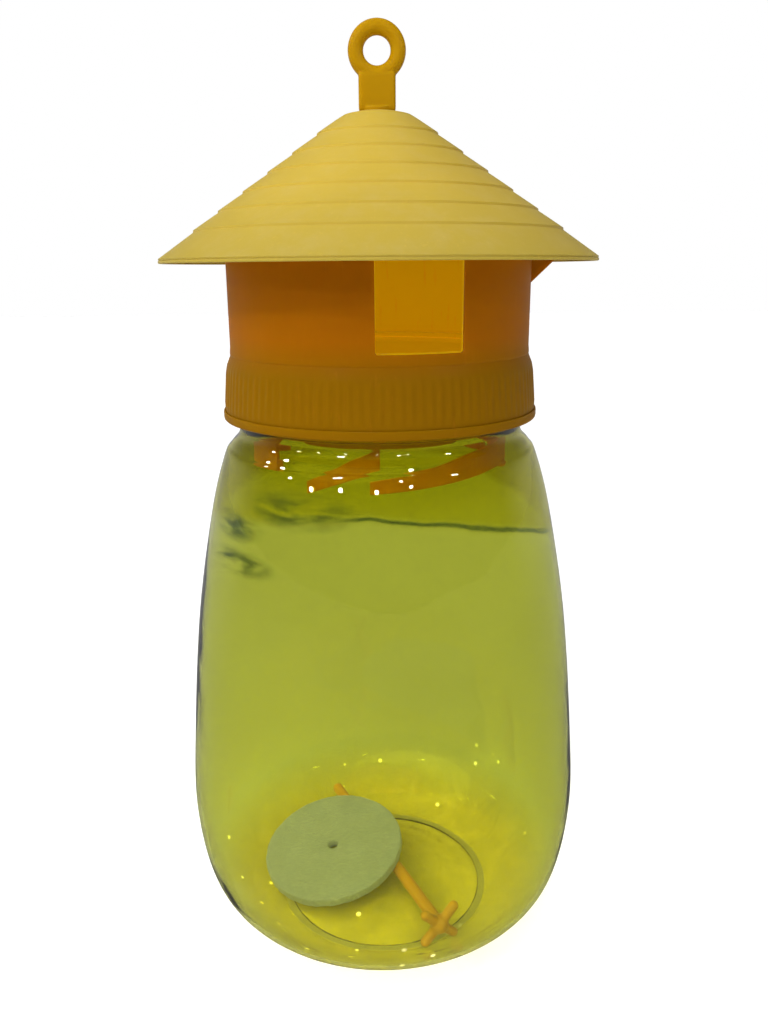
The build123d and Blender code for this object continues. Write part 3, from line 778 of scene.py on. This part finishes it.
class WASPTRAP_OT_cap(bpy.types.Operator):
    """Screw cap with a ribbed skirt and a windowed drum, one amber moulding"""
    bl_idname = "wasptrap.entry_cap"
    bl_label = "Entry cap"

    def execute(self, context):
        s = sizes()
        low, top = CAP_LOW.z, CAP_HIGH.z
        inside = s.drum_radius - s.drum_wall
        bead_top = low + 2.2 * MM
        rib_foot = bead_top + 0.3 * MM
        skirt = [(s.skirt_foot + (s.skirt_top - s.skirt_foot) * k / 12,
                  bead_top + (SKIRT_TOP - bead_top) * k / 12) for k in range(13)]
        corners = rounded([
            (CAP_BORE, low), (s.bead_radius, low), (s.bead_radius, bead_top)], 0.6 * MM)
        upper = rounded([
            (s.drum_radius + 0.15 * MM, 139.7 * MM), (s.drum_radius, 141.2 * MM),
            (s.drum_radius, top), (inside, top), (inside, LEDGE_TOP), (LEDGE_BORE, LEDGE_TOP),
            (LEDGE_BORE, LEDGE_LOW), (inside, LEDGE_LOW), (inside, 139.3 * MM),
            (BEAD_BORE, 139.0 * MM), (BEAD_BORE, 138.5 * MM), (CAP_BORE, 137.6 * MM)], 0.3 * MM)
        bm = spun(corners + skirt + upper, s.grip_ribs * 6)
        for v in bm.verts:
            radius = hypot(v.co.x, v.co.y)
            if radius > CAP_BORE + 1.1 * MM and rib_foot < v.co.z < RIB_TOP:
                fade = min((v.co.z - rib_foot) / MM, (RIB_TOP - v.co.z) / MM, 1.0)
                wave = 0.5 + 0.5 * cos(s.grip_ribs * atan2(v.co.y, v.co.x))
                grown = 1 + fade * wave * 0.17 * MM / radius
                v.co.x *= grown
                v.co.y *= grown
        cap = piece(bm, "cap_and_drum")
        ridge = thread("cap_thread", CAP_BORE, CAP_BORE - THREAD_DEPTH, CAP_THREAD_START,
                       s.thread_pitch)
        combined(cap, [ridge, self.gusset(s)], "UNION")
        combined(cap, [self.window(s, azimuth) for azimuth in WINDOW_AZIMUTHS], "DIFFERENCE")
        # The drum's inner faces get a lighter amber and a glow: painted light for light let
        # through the wall.
        finish = moulded_plastic("cap_amber_plastic", colours().cap, 0.42, 0.02, 0.4, 0.03,
                                 glow=0.14, lower=(colours().skirt, 137 * MM, 144 * MM),
                                 inner=(colours().inside, s.drum_radius - 0.9 * MM,
                                        s.drum_radius - 0.4 * MM))
        placed(cap, "cap", "cap_amber", finish, "entry_cap")
        return {"FINISHED"}

    def gusset(self, s):
        """Bracket between drum and roof, on the right; its corner heights are in mm."""
        bm = bmesh.new()
        inside = s.drum_radius - 0.6 * MM
        outline = [(inside, 152.9), (s.drum_radius, 153.9), (CAP_HIGH.x, 161.5),
                   (CAP_HIGH.x, 162.1), (inside, 164.9)]
        verts = [bm.verts.new((x, -1.0 * MM, z * MM)) for x, z in outline]
        face = bm.faces.new(verts)
        grown = bmesh.ops.extrude_face_region(bm, geom=[face])
        moved = [g for g in grown["geom"] if isinstance(g, bmesh.types.BMVert)]
        bmesh.ops.translate(bm, verts=moved, vec=(0, 2.0 * MM, 0))
        bmesh.ops.recalc_face_normals(bm, faces=bm.faces)
        return piece(bm, "roof_gusset")

    def window(self, s, azimuth):
        """Cutter for one upright window."""
        low, high = LEDGE_TOP, WINDOW_TOP
        bm = bmesh.new()
        bmesh.ops.create_cube(bm, size=1.0)
        bmesh.ops.scale(bm, vec=(s.window_width, 14 * MM, high - low), verts=bm.verts)
        upright = [e for e in bm.edges if abs((e.verts[0].co - e.verts[1].co).y) > 1 * MM]
        bmesh.ops.bevel(bm, geom=upright, offset=0.6 * MM, offset_type="OFFSET", segments=4,
                        affect="EDGES", profile=0.5, material=-1)
        bmesh.ops.translate(bm, verts=bm.verts, vec=(0, -s.drum_radius, (low + high) / 2))
        bmesh.ops.rotate(bm, verts=bm.verts, cent=(0, 0, 0),
                         matrix=Matrix.Rotation(radians(azimuth), 3, "Z"))
        return piece(bm, "window_cutter")


class WASPTRAP_OT_roof(bpy.types.Operator):
    """Thin cone roof in shallow tiers, with its spigot and boss underneath"""
    bl_idname = "wasptrap.roof"
    bl_label = "Roof"

    def execute(self, context):
        s = sizes()
        rim_radius, rim = ROOF_HIGH.x, ROOF_LOW.z

        def surface(radius):
            return rim + 0.9 * MM + (rim_radius - radius) * ROOF_SLOPE

        outer = []
        ends = [rim_radius] + TIERS[::-1] + [CROWN]
        for low_radius, high_radius in zip(ends, ends[1:]):
            lip = 0.0 if low_radius == rim_radius else 0.5 * TIER_STEP
            for k in range(7):
                t = k / 6
                radius = low_radius + (high_radius - low_radius) * t - 0.05 * MM * (1 - t)
                dip = 0.5 * TIER_STEP * t
                outer.append((radius, surface(radius) + lip * (1 - t) ** 0.7 - dip))
        crown = rounded([(CROWN, surface(CROWN)), (4.6 * MM, ROOF_HIGH.z),
                         (BOSS_BORE, ROOF_HIGH.z), (BOSS_BORE, BOSS_LOW),
                         (BOSS, BOSS_LOW)], 0.8 * MM, 5)
        spigot = s.drum_radius - s.drum_wall - 0.05 * MM
        under = [(BOSS, surface(BOSS) - s.roof_wall)]
        under += rounded([
            (spigot - 1.3 * MM, surface(spigot - 1.3 * MM) - s.roof_wall),
            (spigot - 1.3 * MM, SPIGOT_LOW), (spigot, SPIGOT_LOW), (spigot, 162.2 * MM),
            (spigot + 0.35 * MM, 162.6 * MM), (spigot, 163.0 * MM), (spigot, CAP_HIGH.z),
            (s.drum_radius, CAP_HIGH.z),
            (s.drum_radius, surface(s.drum_radius) - s.roof_wall)], 0.25 * MM)
        edge = rounded([(rim_radius - 0.8 * MM, rim), (rim_radius, rim),
                       (rim_radius, rim + 0.7 * MM)], 0.3 * MM)
        bm = spun(outer + crown + under + edge, 256)
        roof = piece(bm, "roof_cone", 24.0)
        # Below 173 mm the roof shifts to a duller yellow: painted shade.
        finish = moulded_plastic("roof_yellow_plastic", colours().roof, 0.38, 0.08, 0.15, 0.12,
                                 lower=(colours().eaves, 160 * MM, 173 * MM))
        placed(roof, "cap", "roof_yellow", finish, "roof")
        return {"FINISHED"}


class WASPTRAP_OT_hanger(bpy.types.Operator):
    """Hanging eye on its flat stem, and the lure socket under the roof"""
    bl_idname = "wasptrap.hanger"
    bl_label = "Hanger"

    def execute(self, context):
        centre = EYE_HIGH.z - EYE_RADIUS
        bm = bmesh.new()
        bmesh.ops.create_circle(bm, segments=32, radius=EYE_WIRE)
        bmesh.ops.translate(bm, verts=bm.verts, vec=(EYE_RADIUS - EYE_WIRE, 0, 0))
        bmesh.ops.spin(bm, geom=bm.verts[:] + bm.edges[:], axis=(0, 1, 0), cent=(0, 0, 0),
                       steps=96, angle=tau, use_merge=True)
        tidy(bm)
        bmesh.ops.translate(bm, verts=bm.verts, vec=(0, 0, centre))
        eye = piece(bm, "hanger")
        stem = bmesh.new()
        bottom = ROOF_HIGH.z + 0.05 * MM
        height = centre - 4.0 * MM - bottom
        bmesh.ops.create_cube(stem, size=1.0)
        bmesh.ops.scale(stem, vec=(7.7 * MM, 3.4 * MM, height), verts=stem.verts)
        bmesh.ops.translate(stem, verts=stem.verts, vec=(0, 0, bottom + height / 2))
        bmesh.ops.bevel(stem, geom=stem.edges[:], offset=0.7 * MM, offset_type="OFFSET",
                        segments=3, affect="EDGES", profile=0.5, material=-1)
        shank = spun([(0.0, EYE_LOW.z), (PLUG, EYE_LOW.z), (PLUG, SHANK_LOW),
                      (SHANK, SHANK_LOW), (SHANK, bottom + 1 * MM),
                      (0.0, bottom + 1 * MM)], 48, closed=False)
        combined(eye, [piece(stem, "stem"), piece(shank, "shank")], "UNION")
        blended(eye, 0.22 * MM, 5)
        finish = moulded_plastic("hanger_amber_plastic", colours().hanger, 0.36, 0.02, 0.3, 0.06)
        placed(eye, "hanger", "hanger_amber", finish, "hanger_eye")
        low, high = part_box("lure_socket")
        radius = high.x
        plug_end, rod_end = high.z - 5 * MM, low.z + 7 * MM
        outline = rounded([(radius, low.z), (radius, high.z), (PLUG, high.z),
                           (PLUG, plug_end)], 0.6 * MM)[:8]
        hole = [(PLUG, plug_end), (0.0, plug_end), (0.0, rod_end),
                (1.55 * MM, rod_end), (1.55 * MM, low.z + 0.3 * MM), (1.85 * MM, low.z)]
        socket = piece(spun(outline + [(PLUG, high.z)] + hole, 64), "lure_hub")
        placed(socket, "hanger", "hanger_amber", finish, "lure_socket")
        return {"FINISHED"}


class WASPTRAP_OT_baffle(bpy.types.Operator):
    """Orange insert in the neck: flange, sleeve, funnel and sloping fins with thick lips"""
    bl_idname = "wasptrap.baffle"
    bl_label = "Neck baffle"

    def execute(self, context):
        s = sizes()
        outside, inside = s.sleeve_radius, s.sleeve_radius - 0.9 * MM
        top = RIM + 1.15 * MM
        bottom = RIM - 16.7 * MM
        outline = [(inside, bottom), (outside, bottom), (outside, RIM), (FLANGE, RIM),
                   (FLANGE, top), (inside, top), (inside, RIM + 0.2 * MM),
                   (s.funnel_hole, RIM - 13.0 * MM), (s.funnel_hole, RIM - 14.0 * MM),
                   (inside, RIM - 1.1 * MM)]
        baffle = piece(spun(rounded(outline, 0.2 * MM, 2), 160), "neck_insert")
        blades = [self.fin(s, bottom, turn, *fin)
                  for turn in (0.0, 120.0, 240.0) for fin in (LONG_FIN, SHORT_FIN)]
        combined(baffle, blades, "UNION")
        # The even glow is painted light, for the light that reaches the baffle inside the neck.
        finish = moulded_plastic("baffle_orange_plastic", colours().baffle, 0.35, 0.0, 0.3, 0.05,
                                 lower=(colours().fins, bottom, bottom + 1.5 * MM), glow=0.16)
        placed(baffle, "baffle", "baffle_orange", finish, "neck_baffle")
        return {"FINISHED"}

    def fin(self, s, bottom, turn, start, span, low, rise):
        """One fin: an L section carried round the sleeve, its lip rising to the right."""
        bm = bmesh.new()
        outside = s.sleeve_radius - 0.1 * MM
        wall, lip = outside - 0.7 * MM, s.sleeve_radius - 1.7 * MM
        top = bottom + 0.5 * MM
        steps = max(6, int(span / 2.5))
        sections = []
        for k in range(steps + 1):
            t = k / steps
            angle = radians(turn + start + span * t)
            base = low + rise * t
            crest = low + 2.6 * MM + (top - low - 2.6 * MM) * t
            points = [(outside, base + 0.15 * MM), (outside, crest), (wall, crest),
                      (wall, base + 2.1 * MM), (lip + 0.2 * MM, base + 2.0 * MM),
                      (lip, base + 1.7 * MM), (lip, base + 0.3 * MM),
                      (lip + 0.3 * MM, base), (outside - 0.15 * MM, base)]
            sections.append([bm.verts.new((r * sin(angle), -r * cos(angle), z))
                             for r, z in points])
        for one, two in zip(sections, sections[1:]):
            for i in range(len(one)):
                j = (i + 1) % len(one)
                bm.faces.new((one[i], one[j], two[j], two[i]))
        bm.faces.new(sections[0])
        bm.faces.new(sections[-1][::-1])
        bmesh.ops.recalc_face_normals(bm, faces=bm.faces)
        return piece(bm, "fin")


class WASPTRAP_OT_lure(bpy.types.Operator):
    """Lure rod with its cross foot, and the pressed lure disc leaning on it"""
    bl_idname = "wasptrap.lure"
    bl_label = "Lure"

    def execute(self, context):
        self.rod()
        self.disc()
        return {"FINISHED"}

    def rod(self):
        s = sizes()
        along = ROD_HUB - ROD_END
        x_side = Vector((along.y, -along.x, 0)).normalized()
        turn = Matrix((x_side, along.normalized().cross(x_side), along.normalized())).transposed()
        place = Matrix.Translation(ROD_END) @ turn.to_4x4()
        tip = [(s.rod_radius * sin(k * pi / 20), -s.rod_radius * cos(k * pi / 20))
               for k in range(11)]
        shank = spun(tip + [(s.rod_radius, along.length), (0.0, along.length)], 48, closed=False)
        rod = piece(shank, "lure_rod_shape")
        extras = []
        ball = bmesh.new()
        bmesh.ops.create_uvsphere(ball, u_segments=32, v_segments=20, radius=2.3 * MM)
        bmesh.ops.translate(ball, verts=ball.verts, vec=(0, 0, along.length))
        extras.append(piece(ball, "hub"))
        for k in range(4):
            arm = bmesh.new()
            bmesh.ops.create_uvsphere(arm, u_segments=24, v_segments=16, radius=1.2 * MM)
            tip = [v for v in arm.verts if v.co.z > 0]
            bmesh.ops.translate(arm, verts=tip, vec=(0, 0, 5.4 * MM))
            bmesh.ops.rotate(arm, verts=arm.verts, cent=(0, 0, 0),
                             matrix=Matrix.Rotation(pi / 2, 3, "Y"))
            bmesh.ops.rotate(arm, verts=arm.verts, cent=(0, 0, 0),
                             matrix=Matrix.Rotation(radians(45 + 90 * k), 3, "Z"))
            bmesh.ops.translate(arm, verts=arm.verts, vec=(0, 0, along.length))
            extras.append(piece(arm, f"arm_{k}"))
        combined(rod, extras, "UNION")
        rod.data.transform(place)
        blended(rod, 0.25 * MM, 4)
        rod.name = "lure_rod_cross"
        finish = moulded_plastic("rod_orange_plastic", colours().rod, 0.35, 0.0, 0.4, 0.3)
        placed(rod, "rod", "rod_orange", finish, "lure_rod")

    def disc(self):
        s = sizes()
        hole = 1.3 * MM
        radius, thick = s.disc_radius, s.disc_thickness
        rings = 22
        top = [(hole + (radius - hole) * k / rings, 0.0) for k in range(rings + 1)]
        edge = rounded([(hole, 0.0), (radius, 0.0), (radius, -thick), (hole, -thick)], 0.5 * MM, 4)
        outline = edge[:5] + top[1:-1] + edge[5:15]
        outline += [(r, -thick) for r, z in top[-2:0:-1]] + edge[15:]
        bm = spun(outline, 180)
        for v in bm.verts:
            share = hypot(v.co.x, v.co.y) / radius
            spot = v.co * 400.0
            rough = noise.noise(spot) * 0.10 + noise.noise(spot * 3.1) * 0.05
            v.co.z += (rough - 0.06) * MM
            if share > 0.93:
                v.co.xy *= 1 + (noise.noise(spot * 1.7) * 0.010 - 0.008)
        tilt = Vector((0, 0, 1)).rotation_difference(DISC_NORMAL).to_matrix().to_4x4()
        place = Matrix.Translation(DISC_CENTRE) @ tilt
        bmesh.ops.transform(bm, matrix=place, verts=bm.verts)
        disc = piece(bm, "lure_disc_pad", 60.0)
        placed(disc, "disc", "disc_fibre", pressed_fibre(), "lure_disc")


# Place, width and height of each small lamp; the jar's shoulder mirrors the first ones, its
# lower back wall the others, which light nothing else
DOWNLIGHTS = (
    ((-0.666, 0.144, 0.564), 0.045, 0.045), ((-0.716, -0.308, 0.392), 0.038, 0.024),
    ((-0.589, -0.523, 0.379), 0.038, 0.013), ((-0.386, -0.556, 0.593), 0.045, 0.045),
    ((-0.362, -0.687, 0.414), 0.038, 0.013), ((-0.031, -0.772, 0.428), 0.038, 0.013),
    ((0.188, -0.702, 0.520), 0.045, 0.038), ((0.289, -0.716, 0.428), 0.038, 0.016),
)
BACK_LAMPS = (
    ((0.513, -0.333, 0.477), 0.06, 0.04), ((0.194, -0.299, 0.703), 0.03, 0.03),
    ((-0.290, -0.470, 0.547), 0.035, 0.035), ((-0.260, -0.014, 0.754), 0.03, 0.03),
    ((-0.478, 0.077, 0.625), 0.035, 0.03),
)


class WASPTRAP_OT_stage(bpy.types.Operator):
    """Pale floor, soft studio light and the camera"""
    bl_idname = "wasptrap.stage"
    bl_label = "Stage"

    def execute(self, context):
        bm = bmesh.new()
        bmesh.ops.create_grid(bm, x_segments=8, y_segments=8, size=3.0)
        floor = piece(bm, "floor")
        floor.data.materials.append(stage_floor())
        context.scene.world = studio_world()
        context.scene.view_settings.view_transform = "Standard"
        sun = bpy.data.lights.new("soft_key", "SUN")
        sun.energy = 2.4
        sun.angle = 1.2
        key = bpy.data.objects.new("soft_key", sun)
        key.rotation_euler = (Vector((0.32, 0.5, -1.0))).to_track_quat("-Z", "Y").to_euler()
        key.visible_glossy = False
        context.scene.collection.objects.link(key)
        for k, (place, width, height) in enumerate(DOWNLIGHTS):
            self.lamp(f"downlight_{k}", place, width, height)
        for k, (place, width, height) in enumerate(BACK_LAMPS):
            self.lamp(f"back_lamp_{k}", place, width, height).visible_diffuse = False
        self.camera(context)
        return {"FINISHED"}

    def lamp(self, name, place, width, height):
        """Small oval lamp of a fixed brightness, aimed at the jar's shoulder."""
        light = bpy.data.lights.new(name, "AREA")
        light.shape = "ELLIPSE"
        light.size, light.size_y = width, height
        light.energy = 300.0 * width * height
        obj = bpy.data.objects.new(name, light)
        obj.location = place
        aim = Vector((0, 0, 0.117)) - Vector(place)
        obj.rotation_euler = aim.to_track_quat("-Z", "Y").to_euler()
        bpy.context.scene.collection.objects.link(obj)
        return obj

    def camera(self, context):
        data = bpy.data.cameras.new("camera")
        data.lens = CAMERA_LENS
        data.sensor_width = 36.0
        data.clip_start = 0.01
        camera = bpy.data.objects.new("camera", data)
        tilt = Matrix.Rotation(radians(90 - CAMERA_DOWN), 4, "X")
        roll = Matrix.Rotation(radians(CAMERA_ROLL), 4, "Z")
        camera.matrix_world = Matrix.Translation(CAMERA_PLACE) @ tilt @ roll
        context.scene.collection.objects.link(camera)
        context.scene.camera = camera


class WASPTRAP_PT_panel(bpy.types.Panel):
    """Lists the sizes, the colours and the build steps"""
    bl_idname = "WASPTRAP_PT_panel"
    bl_label = "Wasp trap"
    bl_space_type = "VIEW_3D"
    bl_region_type = "UI"
    bl_category = "Wasp trap"

    def draw(self, context):
        for group in (sizes(), colours()):
            box = self.layout.box()
            for name in group.bl_rna.properties.keys():
                if name not in ("rna_type", "name"):
                    box.prop(group, name)
        for step in STEPS:
            self.layout.operator(step.bl_idname)


STEPS = (
    WASPTRAP_OT_stage,
    WASPTRAP_OT_jar,
    WASPTRAP_OT_cap,
    WASPTRAP_OT_roof,
    WASPTRAP_OT_hanger,
    WASPTRAP_OT_baffle,
    WASPTRAP_OT_lure,
)
CLASSES = (WaspTrapSizes, WaspTrapColours) + STEPS + (WASPTRAP_PT_panel,)


def register():
    for cls in CLASSES:
        bpy.utils.register_class(cls)
    bpy.types.Scene.wasp_trap_sizes = bpy.props.PointerProperty(type=WaspTrapSizes)
    bpy.types.Scene.wasp_trap_colours = bpy.props.PointerProperty(type=WaspTrapColours)


def unregister():
    del bpy.types.Scene.wasp_trap_colours
    del bpy.types.Scene.wasp_trap_sizes
    for cls in reversed(CLASSES):
        bpy.utils.unregister_class(cls)


def main():
    register()
    for step in STEPS:
        group, name = step.bl_idname.split(".")
        getattr(getattr(bpy.ops, group), name)()


if __name__ == "__main__":
    main()
